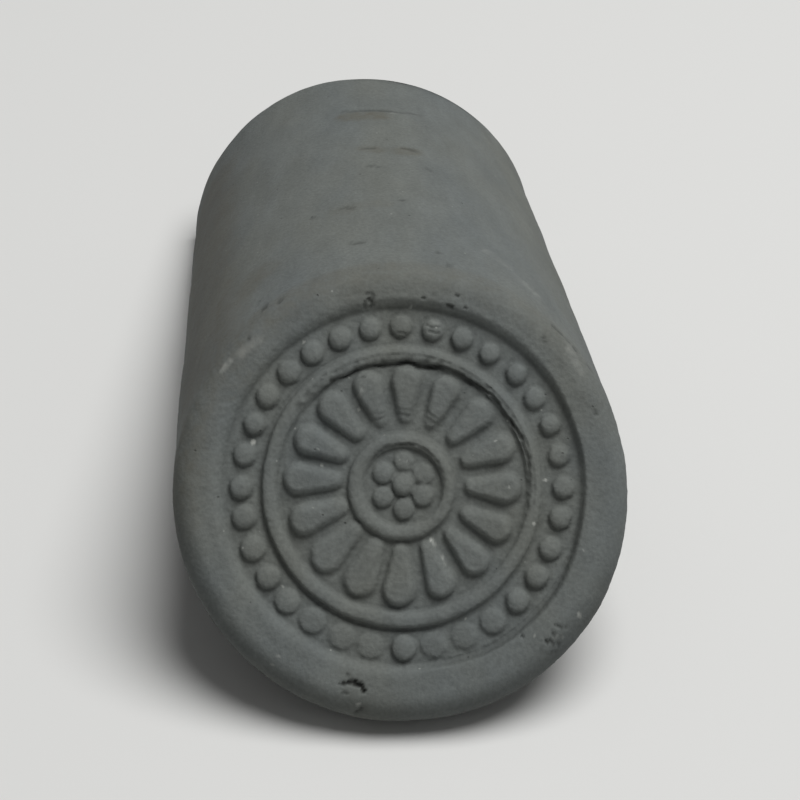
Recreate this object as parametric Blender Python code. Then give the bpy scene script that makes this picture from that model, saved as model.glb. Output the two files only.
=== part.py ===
"""Round-ended eave tile of grey fired clay, one solid: a half-round barrel closed by a leaning disc in relief.

Metres, +Z up. The disc faces -Y. The tile rests on the foot of its disc and the two rear corners of its barrel,
and the origin lies on the ground under the middle of its length. Everything is worked out in the barrel's own
frame, where Y runs back along the barrel from the middle of the disc's face, and is laid on the ground at the end.
"""

import math

import bmesh
import bpy
from mathutils import Matrix, Vector

# Disc and barrel
DISC_RADIUS = 0.065
DISC_THICKNESS = 0.014
DISC_LEAN = math.radians(30.0)
EDGE_ROUND = 0.007
BARREL_LENGTH = 0.220
REAR_RADIUS = 0.062
WALL = 0.012
JOINT_FILLET = 0.008

# The relief is struck a little above the disc's centre, so the rim is widest below
ORNAMENT_RISE = 0.0014
FIELD_DEPTH = 0.0030
RIM_INNER_RADIUS = 0.0504
RIM_WALL_SPREAD = 0.0014

# Ring of pearls
PEARL_COUNT = 32
PEARL_CIRCLE_RADIUS = 0.0455
PEARL_RADIUS = 0.0035
PEARL_HEIGHT = 0.0025

# Ridge round the flower
OUTER_RING_RADIUS = 0.0376
OUTER_RING_WIDTH = 0.0052
OUTER_RING_HEIGHT = 0.0023

# Petals: rounded bars that widen outwards
PETAL_COUNT = 16
PETAL_TURN = math.radians(2.2)
PETAL_INNER_END = 0.0168
PETAL_OUTER_END = 0.0343
PETAL_INNER_HALF_WIDTH = 0.0029
PETAL_OUTER_HALF_WIDTH = 0.0049
PETAL_HEIGHT = 0.0025
PETAL_SHOULDER = 0.0011

# Seed head: a ridge round a cluster of beads
INNER_RING_RADIUS = 0.01325
INNER_RING_WIDTH = 0.0047
INNER_RING_HEIGHT = 0.0022
BEAD_COUNT = 6
BEAD_CIRCLE_RADIUS = 0.0066
BEAD_RADIUS = 0.0032
BEAD_HEIGHT = 0.0022

# Petals start this far below the field, so that they join it
RELIEF_ROOT = 0.0015

# Facets
BARREL_STEPS = 50
FOOT_STEPS = 46
EDGE_ROUND_STEPS = 4
FILLET_STEPS = 3
TAPER_STEPS = 3
RING_STEPS = 4
PEARL_SIDES = 10
BEAD_SIDES = 10
DOME_STEPS = 6
PETAL_END_STEPS = 5
PETAL_SHOULDER_STEPS = 2
SMOOTH_BELOW = math.radians(35.0)

CLAY_COLOUR = (0.145, 0.153, 0.143, 1.0)
CLAY_ROUGHNESS = 0.85


def disc_point(across, up, out):
    """A point given across the disc, up its face and out of its face, in the barrel's frame."""
    return Vector((
        across,
        up * math.sin(DISC_LEAN) - out * math.cos(DISC_LEAN),
        up * math.cos(DISC_LEAN) + out * math.sin(DISC_LEAN),
    ))


def edge_turn(angle):
    """How far the rounded edge of the disc turns, at this angle from the top, until it runs straight back."""
    return math.atan2(1.0, math.tan(DISC_LEAN) * math.cos(angle))


def edge_point(angle, turn):
    """A point of the disc's rounded edge: turn is 0 where the rim's flat ends and a right angle at the side."""
    radius = DISC_RADIUS - EDGE_ROUND * (1.0 - math.sin(turn))
    out = -EDGE_ROUND * (1.0 - math.cos(turn))
    return disc_point(radius * math.sin(angle), radius * math.cos(angle), out)


def barrel_axis_height():
    """Height of the barrel's axis, which puts the top of the barrel in line with the top of the disc's edge."""
    return edge_point(0.0, edge_turn(0.0)).z - REAR_RADIUS


def lower_edge_angle():
    """Angle from the disc's top at which the barrel's lower edges leave it, level with the barrel's axis."""
    height = barrel_axis_height() + EDGE_ROUND * math.sin(DISC_LEAN)
    radius = (DISC_RADIUS - EDGE_ROUND) * math.cos(DISC_LEAN) + EDGE_ROUND / math.cos(DISC_LEAN)
    return math.acos(height / radius)


def back_face_y(z):
    """Where the flat back of the disc lies at this height."""
    up = (z + DISC_THICKNESS * math.sin(DISC_LEAN)) / math.cos(DISC_LEAN)
    return disc_point(0.0, up, -DISC_THICKNESS).y


def loop_stations():
    """The stations of one loop of the skin, as (is on the arch, share of its stretch).

    The arch goes over the top from the left lower edge of the barrel to the right one, and the foot back below.
    """
    arch = [(True, step / BARREL_STEPS) for step in range(BARREL_STEPS + 1)]
    foot = [(False, step / FOOT_STEPS) for step in range(1, FOOT_STEPS)]
    return arch + foot


def station_angle(on_arch, share):
    """The station's angle from the disc's top."""
    edge = lower_edge_angle()
    if on_arch:
        return edge * (2.0 * share - 1.0)
    return edge + 2.0 * (math.pi - edge) * share


def face_loop(radius, height):
    """A circle on the disc's face, this high over the flat of the rim."""
    angles = [station_angle(*station) for station in loop_stations()]
    return [disc_point(radius * math.sin(a), ORNAMENT_RISE + radius * math.cos(a), height) for a in angles]


def ridge_loops(radius, width, height):
    """Circles over a ridge of half-elliptic section that stands on the field."""
    turns = [math.pi * (step / RING_STEPS - 0.5) for step in range(RING_STEPS + 1)]
    return [face_loop(radius + width / 2.0 * math.sin(t), height * math.cos(t) - FIELD_DEPTH) for t in turns]


def edge_loop(share):
    """A loop on the disc's rounded edge, at this share of the way round it."""
    points = []
    for on_arch, place in loop_stations():
        angle = station_angle(on_arch, place)
        full_turn = edge_turn(angle) if on_arch else math.pi / 2.0
        points.append(edge_point(angle, full_turn * share))
    return points


def half_round_point(radius, side, y):
    """A point of the barrel's half-round section: side is -1 at the left lower edge and 1 at the right one."""
    turn = side * math.pi / 2.0
    return Vector((radius * math.sin(turn), y, barrel_axis_height() + radius * math.cos(turn)))


def arch_point(share, depth):
    """A point of the barrel's outside, this deep behind the disc's back. It tapers straight to the rear end."""
    side = 2.0 * share - 1.0
    angle = station_angle(True, share)
    start = edge_point(angle, edge_turn(angle))
    if abs(side) == 1.0:
        start.z = barrel_axis_height()
    start.y = back_face_y(start.z)
    return start.lerp(half_round_point(REAR_RADIUS, side, BARREL_LENGTH), depth / (BARREL_LENGTH - start.y))


def hollow_side(share):
    """Where a foot station lies on the hollow: the first one is at the right lower edge, the last at the left."""
    return 1.0 - 2.0 * (share * FOOT_STEPS - 1.0) / (FOOT_STEPS - 2.0)


def hollow_point(share, depth):
    """A point of the barrel's inside, this deep behind the disc's back, which it meets in a fillet."""
    short = max(JOINT_FILLET - depth, 0.0)
    fill = JOINT_FILLET - math.sqrt(JOINT_FILLET ** 2 - short ** 2)
    point = half_round_point(REAR_RADIUS - WALL - fill, hollow_side(share), 0.0)
    point.y = back_face_y(point.z) + depth
    return point


def disc_back_edge_point(share):
    angle = station_angle(False, share)
    return disc_point(DISC_RADIUS * math.sin(angle), DISC_RADIUS * math.cos(angle), -DISC_THICKNESS)


def shell_loop(outside, inside):
    """A loop whose arch stations come from the function outside and whose foot stations come from inside."""
    return [outside(share) if on_arch else inside(share) for on_arch, share in loop_stations()]


def face_loops():
    """From the middle of the disc's face to the end of its rounded edge."""
    loops = ridge_loops(INNER_RING_RADIUS, INNER_RING_WIDTH, INNER_RING_HEIGHT)
    loops += ridge_loops(OUTER_RING_RADIUS, OUTER_RING_WIDTH, OUTER_RING_HEIGHT)
    loops.append(face_loop(RIM_INNER_RADIUS, -FIELD_DEPTH))
    loops.append(face_loop(RIM_INNER_RADIUS + RIM_WALL_SPREAD, 0.0))
    loops += [edge_loop(step / EDGE_ROUND_STEPS) for step in range(EDGE_ROUND_STEPS + 1)]
    return loops


def fillet_depths():
    """How deep behind the disc's back the loops through the fillet lie, and one more past it."""
    turns = [math.pi / 2.0 * step / FILLET_STEPS for step in range(FILLET_STEPS + 1)]
    depths = [JOINT_FILLET * (1.0 - math.cos(turn)) for turn in turns]
    return depths + [2.0 * depths[-1] - depths[-2]]


def shell_loops():
    """From the disc's back edge, along the barrel's outside and the inside of the hollow, to the rear end."""
    depths = fillet_depths()
    loops = [shell_loop(lambda share: arch_point(share, 0.0), disc_back_edge_point)]
    for outer, inner in zip(depths[1:], depths[:-1]):
        loops.append(shell_loop(lambda share: arch_point(share, outer), lambda share: hollow_point(share, inner)))
    start = loops[-1]
    end = shell_loop(
        lambda share: half_round_point(REAR_RADIUS, 2.0 * share - 1.0, BARREL_LENGTH),
        lambda share: half_round_point(REAR_RADIUS - WALL, hollow_side(share), BARREL_LENGTH),
    )
    for step in range(1, TAPER_STEPS + 1):
        loops.append([near.lerp(far, step / TAPER_STEPS) for near, far in zip(start, end)])
    return loops


def add_tube(bm, loops):
    """A net of four-sided faces through closed loops of points, with a seam still open. Returns its rows."""
    width = len(loops[0]) + 1
    net = bmesh.ops.create_grid(bm, x_segments=width - 1, y_segments=len(loops) - 1, size=1.0)["verts"]
    rows = [net[row * width:(row + 1) * width] for row in range(len(loops))]
    for row, loop in zip(rows, loops):
        for vert, point in zip(row, loop + loop[:1]):
            vert.co = point
    return rows


def close_tube(bm, rows):
    """Welds the seam and fills both ends."""
    bmesh.ops.weld_verts(bm, targetmap={row[-1]: row[0] for row in rows})
    for row in (rows[0], rows[-1]):
        bm.faces.new(row[:-1])


def tile_skin():
    """The tile with its rings but without its flower and pearls, as one closed skin."""
    front = face_loops()
    bm = bmesh.new()
    rows = add_tube(bm, front + shell_loops())
    # Beside each lower edge the skin folds, from the back of the disc into the underside of the barrel's wall
    disc_row, shell_row = rows[len(front):len(front) + 2]
    for outer, inner in ((BARREL_STEPS, BARREL_STEPS + 1), (-1, -2)):
        bmesh.ops.connect_verts(bm, verts=[disc_row[outer], shell_row[inner]])
    close_tube(bm, rows)
    bmesh.ops.recalc_face_normals(bm, faces=bm.faces)
    return bm


def add_dome(bm, sides, radius, height, angle, circle_radius):
    """A flattened ball, sunk in the field to its middle, at this angle from the top of its circle."""
    ball = bmesh.ops.create_uvsphere(bm, u_segments=sides, v_segments=DOME_STEPS, radius=1.0)["verts"]
    centre = (circle_radius * math.sin(angle), ORNAMENT_RISE + circle_radius * math.cos(angle), -FIELD_DEPTH)
    shape = Matrix.Diagonal((radius, radius, height, 1.0))
    bmesh.ops.transform(bm, matrix=Matrix.Translation(centre) @ shape, verts=ball)


def petal_outline(inset):
    """The outline of an upright petal: two round ends, the outer one larger, and straight flanks between."""
    inner_radius = PETAL_INNER_HALF_WIDTH - inset
    outer_radius = PETAL_OUTER_HALF_WIDTH - inset
    inner_centre = PETAL_INNER_END + PETAL_INNER_HALF_WIDTH
    outer_centre = PETAL_OUTER_END - PETAL_OUTER_HALF_WIDTH
    taper = math.asin((outer_radius - inner_radius) / (outer_centre - inner_centre))
    shares = [1.0 - 2.0 * step / PETAL_END_STEPS for step in range(PETAL_END_STEPS + 1)]
    outer_turns = [(math.pi / 2.0 + taper) * share for share in shares]
    inner_turns = [(math.pi / 2.0 - taper) * share for share in shares]
    outline = [(outer_radius * math.sin(t), outer_centre + outer_radius * math.cos(t)) for t in outer_turns]
    outline += [(-inner_radius * math.sin(t), inner_centre - inner_radius * math.cos(t)) for t in inner_turns]
    return outline


def petal_sections():
    """Inset and height of the petal's outline, from its root up its flank and over its rounded shoulder."""
    turns = [math.pi / 2.0 * step / PETAL_SHOULDER_STEPS for step in range(PETAL_SHOULDER_STEPS + 1)]
    crown = PETAL_HEIGHT - PETAL_SHOULDER
    shoulder = [(PETAL_SHOULDER * (1.0 - math.cos(t)), crown + PETAL_SHOULDER * math.sin(t)) for t in turns]
    return [(0.0, -RELIEF_ROOT)] + shoulder


def add_petal(bm, angle):
    place = Matrix.Translation((0.0, ORNAMENT_RISE, -FIELD_DEPTH)) @ Matrix.Rotation(-angle, 4, "Z")
    loops = []
    for inset, height in petal_sections():
        loops.append([place @ Vector((x, y, height)) for x, y in petal_outline(inset)])
    close_tube(bm, add_tube(bm, loops))


def flower_and_pearls():
    """The raised shapes of the disc, each one closed."""
    bm = bmesh.new()
    for number in range(PEARL_COUNT):
        angle = 2.0 * math.pi * number / PEARL_COUNT
        add_dome(bm, PEARL_SIDES, PEARL_RADIUS, PEARL_HEIGHT, angle, PEARL_CIRCLE_RADIUS)
    for number in range(PETAL_COUNT):
        add_petal(bm, PETAL_TURN + 2.0 * math.pi * number / PETAL_COUNT)
    add_dome(bm, BEAD_SIDES, BEAD_RADIUS, BEAD_HEIGHT, 0.0, 0.0)
    for number in range(BEAD_COUNT):
        angle = 2.0 * math.pi * number / BEAD_COUNT
        add_dome(bm, BEAD_SIDES, BEAD_RADIUS, BEAD_HEIGHT, angle, BEAD_CIRCLE_RADIUS)
    bmesh.ops.recalc_face_normals(bm, faces=bm.faces)
    for vert in bm.verts:
        vert.co = disc_point(*vert.co)
    return bm


def resting_slope():
    """How far the barrel slopes down to its rear when the tile lies on level ground."""
    foot = disc_point(0.0, -DISC_RADIUS, -DISC_THICKNESS)
    corner = half_round_point(REAR_RADIUS, 1.0, BARREL_LENGTH)
    return math.atan2(corner.z - foot.z, corner.y - foot.y)


def resting_pose():
    """Lays the tile on the ground, with the origin under the middle of its length."""
    lean = Matrix.Rotation(-resting_slope(), 4, "X")
    foot = lean @ disc_point(0.0, -DISC_RADIUS, -DISC_THICKNESS)
    front = (lean @ disc_point(0.0, EDGE_ROUND - DISC_RADIUS, -EDGE_ROUND)).y - EDGE_ROUND
    rear = (lean @ half_round_point(REAR_RADIUS, 0.0, BARREL_LENGTH)).y
    return Matrix.Translation((0.0, -(front + rear) / 2.0, -foot.z)) @ lean


def clay_material():
    material = bpy.data.materials.new("grey_fired_clay")
    material.use_nodes = True
    shader = material.node_tree.nodes["Principled BSDF"]
    shader.inputs["Base Color"].default_value = CLAY_COLOUR
    shader.inputs["Roughness"].default_value = CLAY_ROUGHNESS
    shader.inputs["Metallic"].default_value = 0.0
    return material


def add_object(name, bm):
    mesh = bpy.data.meshes.new(name)
    bm.to_mesh(mesh)
    bm.free()
    mesh.shade_smooth()
    mesh.set_sharp_from_angle(angle=SMOOTH_BELOW)
    made = bpy.data.objects.new(name, mesh)
    bpy.context.scene.collection.objects.link(made)
    made.matrix_world = resting_pose()
    return made


def build():
    for old in list(bpy.data.objects):
        bpy.data.objects.remove(old)
    tile = add_object("eave_tile", tile_skin())
    tile.data.materials.append(clay_material())
    relief = add_object("flower_and_pearls", flower_and_pearls())
    relief.hide_render = True
    relief.display_type = "WIRE"
    join = tile.modifiers.new("raise the flower and pearls", "BOOLEAN")
    join.operation = "UNION"
    join.solver = "EXACT"
    join.object = relief


build()
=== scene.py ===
"""Looks of a round-ended eave tile: grey fired clay, pressed relief, wiped barrel and wear."""

import math

import bmesh
import bpy
import numpy as np
from bpy.props import FloatProperty, FloatVectorProperty, IntProperty, PointerProperty, StringProperty
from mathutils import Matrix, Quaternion, Vector, noise


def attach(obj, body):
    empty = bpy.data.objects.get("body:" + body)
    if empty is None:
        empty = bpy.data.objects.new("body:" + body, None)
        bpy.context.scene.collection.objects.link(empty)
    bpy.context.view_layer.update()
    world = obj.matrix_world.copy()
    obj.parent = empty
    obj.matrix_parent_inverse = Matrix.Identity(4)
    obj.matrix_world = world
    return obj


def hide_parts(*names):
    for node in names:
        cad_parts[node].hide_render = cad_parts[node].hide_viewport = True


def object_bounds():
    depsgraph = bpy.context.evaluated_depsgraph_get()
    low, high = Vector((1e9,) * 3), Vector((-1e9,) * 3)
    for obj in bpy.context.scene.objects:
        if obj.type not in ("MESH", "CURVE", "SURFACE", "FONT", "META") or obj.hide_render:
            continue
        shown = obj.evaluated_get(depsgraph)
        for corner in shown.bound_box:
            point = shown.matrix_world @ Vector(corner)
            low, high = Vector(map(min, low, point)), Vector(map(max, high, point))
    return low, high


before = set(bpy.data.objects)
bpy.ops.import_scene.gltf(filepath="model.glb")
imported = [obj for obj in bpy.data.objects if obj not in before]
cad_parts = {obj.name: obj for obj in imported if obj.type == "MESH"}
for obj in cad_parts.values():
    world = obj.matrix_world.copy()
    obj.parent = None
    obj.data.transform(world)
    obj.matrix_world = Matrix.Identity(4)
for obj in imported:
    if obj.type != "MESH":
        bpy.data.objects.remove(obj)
CAD_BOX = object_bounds()

bl_info = {
    "name": "Grey Clay Eave Tile",
    "version": (1, 0, 0),
    "blender": (4, 5, 0),
    "location": "3D View > Sidebar > Eave Tile",
    "description": "Models a round-ended roof tile of grey fired clay with its pressed flower and its wear",
    "category": "Add Mesh",
}

MM = 0.001
TILE_NODE = "eave_tile"
MARKS_LAYER = "marks"

# Steps of the net over the disc's face, round its edge and along the barrel
FACE_STEP = 0.45 * MM
EDGE_STEP = 0.8 * MM
BARREL_STEP = 1.7 * MM

# Steps over the arch and round the foot in the face's innermost band
ARCH_STEPS = 50
FOOT_STEPS = 46

# Rows of the fillet behind the disc
FILLET_ROWS = 7

# Brings Blender's noise to about -1 to 1
NOISE_GAIN = 1.6


def length(name, description, default):
    """A length in metres, as a property."""
    return FloatProperty(name=name, description=description, default=default, precision=4, unit="LENGTH")


def hex_colour(name, description, default):
    """An sRGB colour written as hex, as a property."""
    return StringProperty(name=name, description=description, default=default, maxlen=7)


def in_degrees(name, description, default):
    """An angle as a property, with its default in degrees."""
    return FloatProperty(name=name, description=description, default=math.radians(default), subtype="ANGLE")


def at_place(name, description, default):
    """A place in metres, as a property."""
    return FloatVectorProperty(name=name, description=description, default=default, subtype="TRANSLATION")


class EaveTileForm(bpy.types.PropertyGroup):
    """The tile's own sizes, as the solid has them"""

    disc_radius: length("Disc radius", "Outside of the round end", (CAD_BOX[1][0] - CAD_BOX[0][0]) / 2.0)
    disc_thickness: length("Disc thickness", "From the rim's flat to the back", 14.0 * MM)
    disc_lean: in_degrees("Disc lean", "How far the disc's foot is kicked forward from square", 30.0)
    edge_round: length("Edge rounding", "Radius of the disc's front edge", 7.0 * MM)
    barrel_length: length("Barrel length", "From the middle of the disc's face to the rear end", 220.0 * MM)
    rear_radius: length("Rear radius", "Outside of the barrel at its rear end", 62.0 * MM)
    wall: length("Wall", "Thickness of the barrel at its rear end", 12.0 * MM)
    joint_fillet: length("Joint fillet", "Roll of clay thumbed into the corner behind the disc", 8.0 * MM)
    arris: length("Arris rounding", "Wear of the long and rear edges", 1.3 * MM)


class EaveTileRelief(bpy.types.PropertyGroup):
    """Sizes of the pressed relief, out from the middle of the rings"""

    rise: length("Rise", "How far the relief is struck above the disc's centre", 1.4 * MM)
    drag: FloatProperty(
        name="Drag", description="How far the mould dragged the relief, per height", default=0.32)
    depth: length("Field depth", "From the rim's flat down to the field", 2.8 * MM)
    rim_radius: length("Rim's inner radius", "Foot of the rim", 50.3 * MM)
    rim_slope: length("Rim's slope", "Width of the rim's inner flank, steep at its foot", 3.2 * MM)
    pearls: IntProperty(name="Pearls", description="Pearls in the ring", default=32)
    pearl_circle: length("Pearl circle", "Radius through the pearls' middles", 45.5 * MM)
    pearl_radius: length("Pearl radius", "Half a pearl's width", 3.45 * MM)
    pearl_height: length("Pearl height", "Over the field", 2.3 * MM)
    ring_radius: length("Ring radius", "Crown of the ridge round the flower", 37.6 * MM)
    ring_width: length("Ring width", "Foot to foot", 5.2 * MM)
    ring_height: length("Ring height", "Over the field", 2.3 * MM)
    flower_right: length("Flower to the right", "How far it sits off the middle of the rings", 0.2 * MM)
    flower_up: length("Flower up", "How far it sits above the middle of the rings", 0.5 * MM)
    petals: IntProperty(name="Petals", description="Petals of the flower", default=16)
    petal_turn: in_degrees("Petal turn", "Turn of the first petal from upright", 1.9)
    petal_inner: length("Petal's inner end", "From the flower's middle", 16.8 * MM)
    petal_outer: length("Petal's outer end", "From the flower's middle", 34.3 * MM)
    petal_tip: length("Petal's inner half width", "Radius of the inner end", 2.85 * MM)
    petal_head: length("Petal's outer half width", "Radius of the outer end", 4.9 * MM)
    petal_height: length("Petal height", "Over the field", 2.6 * MM)
    petal_shoulder: length("Petal shoulder", "Width of the rounded flank", 2.8 * MM)
    head_radius: length("Seed head radius", "Crown of the ridge round the beads", 13.3 * MM)
    head_width: length("Seed head ridge", "Foot to foot", 4.9 * MM)
    head_height: length("Seed head height", "Over the field", 2.3 * MM)
    beads: IntProperty(name="Beads", description="Beads round the middle one", default=6)
    bead_circle: length("Bead circle", "Radius through the beads' middles", 6.7 * MM)
    bead_radius: length("Bead radius", "Half a bead's width", 3.2 * MM)
    bead_height: length("Bead height", "Over the field", 1.8 * MM)


class EaveTileClay(bpy.types.PropertyGroup):
    """Colours of the clay, sRGB, and its roughness"""

    body: hex_colour("Body", "Grey of the reduction-fired clay", "#6A6E6B")
    blue: hex_colour("Blue patches", "Where the smoke bit deepest", "#676C6B")
    olive: hex_colour("Olive patches", "Where air got in while it cooled", "#6B6E69")
    # The pit colour paints soot in pits and pores, and also painted shade in creases, tears, cut lines and
    # low on the tile
    soot_and_shade: hex_colour("Pits", "Soot in pits and torn edges", "#232421")
    lime: hex_colour("Lime", "Burst lime specks and rubbed corners", "#B0B2AC")
    earth: hex_colour("Earth", "Brown earth wiped into the surface", "#5E5B50")
    roughness: FloatProperty(
        name="Roughness", description="Dry unglazed clay", default=0.86, min=0.0, max=1.0)


class EaveTileStage(bpy.types.PropertyGroup):
    """Floor, light, sky and camera"""

    floor: hex_colour("Floor", "Pale floor", "#E2E2E0")
    floor_size: length("Floor size", "Side of the floor", 8.0)
    lens: FloatProperty(name="Lens", description="Focal length on a 36 mm sensor, in mm", default=103.0)
    eye: at_place("Camera", "Where the camera stands", (-0.0481, -0.5852, 0.4685))
    aim: at_place("Aim", "Where the camera looks", (0.0060, 0.0, 0.0179))
    roll: in_degrees("Roll", "How far the camera is held off level", 3.45)
    key_place: at_place("Key light's place", "Where the key light hangs", (0.62, 0.08, 2.39))
    key_width: length("Key light's width", "Across the round light", 1.8)
    key_power: FloatProperty(name="Key light", description="Power in watts", default=56.0)
    sky_strength: FloatProperty(name="Sky", description="Strength of the even light", default=0.135)


class TileForm:
    """The tile's form in the barrel's own frame: Y runs back along it from the disc's middle."""

    def __init__(self, sizes):
        self.sizes = sizes
        lean = sizes.disc_lean
        self.up = np.array((0.0, math.sin(lean), math.cos(lean)))
        self.out = np.array((0.0, -math.cos(lean), math.sin(lean)))
        top = self.edge(np.zeros(1), self.full_turn(np.zeros(1)))[0]
        self.axis_height = top[2] - sizes.rear_radius
        height = self.axis_height + sizes.edge_round * math.sin(lean)
        reach = (sizes.disc_radius - sizes.edge_round) * math.cos(lean) + sizes.edge_round / math.cos(lean)
        self.edge_angle = math.acos(height / reach)

    def disc(self, across, up, out):
        """Points given across the disc, up its face and out of its face."""
        across, up, out = np.broadcast_arrays(across, up, out)
        points = up[..., None] * self.up + out[..., None] * self.out
        points[..., 0] += across
        return points

    def foot_circle(self, stations, out):
        """Points round the disc's foot at its full radius, so far out of its face."""
        radius = self.sizes.disc_radius
        return self.disc(radius * np.sin(stations.foot_angle), radius * np.cos(stations.foot_angle), out)

    def full_turn(self, angle):
        """How far the disc's rounded edge turns at an angle from the top until it runs straight back."""
        return np.arctan2(1.0, math.tan(self.sizes.disc_lean) * np.cos(angle))

    def edge(self, angle, turn):
        """Points of the disc's rounded edge."""
        round_off = self.sizes.edge_round
        radius = self.sizes.disc_radius - round_off * (1.0 - np.sin(turn))
        return self.disc(radius * np.sin(angle), radius * np.cos(angle), -round_off * (1.0 - np.cos(turn)))

    def back_y(self, z):
        """Where the flat back of the disc lies at a height."""
        lean = self.sizes.disc_lean
        up = (z + self.sizes.disc_thickness * math.sin(lean)) / math.cos(lean)
        return up * math.sin(lean) + self.sizes.disc_thickness * math.cos(lean)

    def half_round(self, radius, side, y):
        """Points of the barrel's section: side is -1 at the left lower edge and 1 at the right one."""
        turn = side * math.pi / 2.0
        side, y = np.broadcast_arrays(side, y)
        return np.stack((radius * np.sin(turn), y, self.axis_height + radius * np.cos(turn)), axis=-1)

    def resting_pose(self):
        """The turn and shift that lay the tile on the ground, the origin under its length's middle."""
        sizes = self.sizes
        foot = self.disc(0.0, -sizes.disc_radius, -sizes.disc_thickness)
        corner = self.half_round(sizes.rear_radius, 1.0, sizes.barrel_length)
        slope = math.atan2(corner[2] - foot[2], corner[1] - foot[1])
        turn = np.array(((1.0, 0.0, 0.0),
                         (0.0, math.cos(slope), math.sin(slope)),
                         (0.0, -math.sin(slope), math.cos(slope))))
        nose = turn @ self.disc(0.0, sizes.edge_round - sizes.disc_radius, -sizes.edge_round)
        rear = turn @ self.half_round(sizes.rear_radius, 0.0, sizes.barrel_length)
        middle = (nose[1] - sizes.edge_round + rear[1]) / 2.0
        return turn, np.array((0.0, -middle, -(turn @ foot)[2]))


class Stations:
    """Where the points of one loop lie: first over the arch, left to right, then back round the foot."""

    def __init__(self, form, arch_steps, foot_steps):
        arch = np.linspace(0.0, 1.0, arch_steps + 1)
        foot = np.linspace(0.0, 1.0, foot_steps + 1)[1:-1]
        self.arch_steps = arch_steps
        self.side = 2.0 * arch - 1.0
        self.hollow_side = np.linspace(1.0, -1.0, foot_steps - 1)
        self.arch_angle = form.edge_angle * self.side
        self.foot_angle = form.edge_angle + 2.0 * (math.pi - form.edge_angle) * foot
        self.angle = np.concatenate((self.arch_angle, self.foot_angle))


def spaced(start, end, step):
    """Values from start to just before end, about a step apart."""
    count = max(1, round((end - start) / step))
    return list(np.linspace(start, end, count, endpoint=False))


def smooth_step(share):
    """A share kept from 0 to 1 and eased at both ends."""
    share = np.clip(share, 0.0, 1.0)
    return share * share * (3.0 - 2.0 * share)


def face_loops(form, relief, stations, radii):
    """Flat circles on the disc's face, round the middle of the relief."""
    across, up = np.sin(stations.angle), np.cos(stations.angle)
    return [form.disc(r * across, relief.rise + r * up, 0.0) for r in radii]


def rim_loops(form, relief, stations, start, step):
    """From the relief's foot over the flat rim to where the disc's edge begins to round."""
    sizes = form.sizes
    inner = face_loops(form, relief, stations, [start])[0]
    outer = form.edge(stations.angle, np.zeros_like(stations.angle))
    width = sizes.disc_radius - sizes.edge_round - start
    return [inner + (outer - inner) * (r / width) for r in spaced(0.0, width, step)]


def edge_loops(form, stations, step):
    """Round the disc's edge and straight back to its back edge."""
    sizes = form.sizes
    arch_turn = form.full_turn(stations.arch_angle)
    full = np.concatenate((arch_turn, np.full_like(stations.foot_angle, math.pi / 2.0)))
    shares = spaced(0.0, 1.0, step / (sizes.edge_round * math.pi / 2.0))
    loops = [form.edge(stations.angle, full * share) for share in shares]
    arch = form.edge(stations.arch_angle, arch_turn)
    run = form.back_y(arch[:, 2]) - arch[:, 1]
    depth = sizes.disc_thickness - sizes.edge_round
    for share in spaced(0.0, 1.0, 2.0 * step / depth):
        side = arch + np.outer(run * share, (0.0, 1.0, 0.0))
        foot = form.foot_circle(stations, -sizes.edge_round - depth * share)
        loops.append(np.concatenate((side, foot)))
    return loops


def arch_loop(form, stations, depth):
    """The barrel's outside at a depth behind the disc's back. It tapers straight to the rear end."""
    sizes = form.sizes
    start = form.edge(stations.arch_angle, form.full_turn(stations.arch_angle))
    start[[0, -1], 2] = form.axis_height
    start[:, 1] = form.back_y(start[:, 2])
    rear = form.half_round(sizes.rear_radius, stations.side, sizes.barrel_length)
    return start + (rear - start) * (depth / (sizes.barrel_length - start[:, 1]))[:, None]


def hollow_loop(form, stations, depth):
    """The barrel's inside at a depth behind the disc's back, which it meets in a fillet."""
    sizes = form.sizes
    short = max(sizes.joint_fillet - depth, 0.0)
    fill = sizes.joint_fillet - math.sqrt(sizes.joint_fillet ** 2 - short ** 2)
    points = form.half_round(sizes.rear_radius - sizes.wall - fill, stations.hollow_side, 0.0)
    points[:, 1] = form.back_y(points[:, 2]) + depth
    return points


def shell_loops(form, stations, step):
    """From the disc's back edge along the barrel, outside and inside together, to the rear end."""
    sizes = form.sizes
    depths = list(sizes.joint_fillet * (1.0 - np.cos(np.linspace(0.0, math.pi / 2.0, FILLET_ROWS))))
    depths.append(2.0 * depths[-1] - depths[-2])
    back_edge = form.foot_circle(stations, -sizes.disc_thickness)
    loops = [np.concatenate((arch_loop(form, stations, 0.0), back_edge))]
    for outer, inner in zip(depths[1:], depths[:-1]):
        loops.append(np.concatenate((arch_loop(form, stations, outer), hollow_loop(form, stations, inner))))
    last = loops[-1]
    outside = form.half_round(sizes.rear_radius, stations.side, sizes.barrel_length)
    inside = form.half_round(sizes.rear_radius - sizes.wall, stations.hollow_side, sizes.barrel_length)
    end = np.concatenate((outside, inside))
    rows = round((end[:, 1] - last[:, 1]).mean() / step)
    loops += [last + (end - last) * (row / rows) for row in range(1, rows + 1)]
    return loops


def add_band(bm, loops):
    """A closed band of four-sided faces through the loops, made from a grid whose seam is welded."""
    width = len(loops[0]) + 1
    net = bmesh.ops.create_grid(bm, x_segments=width - 1, y_segments=len(loops) - 1, size=1.0)["verts"]
    rows = [net[row * width:(row + 1) * width] for row in range(len(loops))]
    for row, loop in zip(rows, loops):
        for vert, point in zip(row, np.vstack((loop, loop[:1]))):
            vert.co = point
    bmesh.ops.weld_verts(bm, targetmap={row[-1]: row[0] for row in rows})
    return [row[:-1] for row in rows]


def chain(bm, verts):
    """The edges along a run of vertices."""
    return [bm.edges.get(pair) for pair in zip(verts[:-1], verts[1:])]


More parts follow.
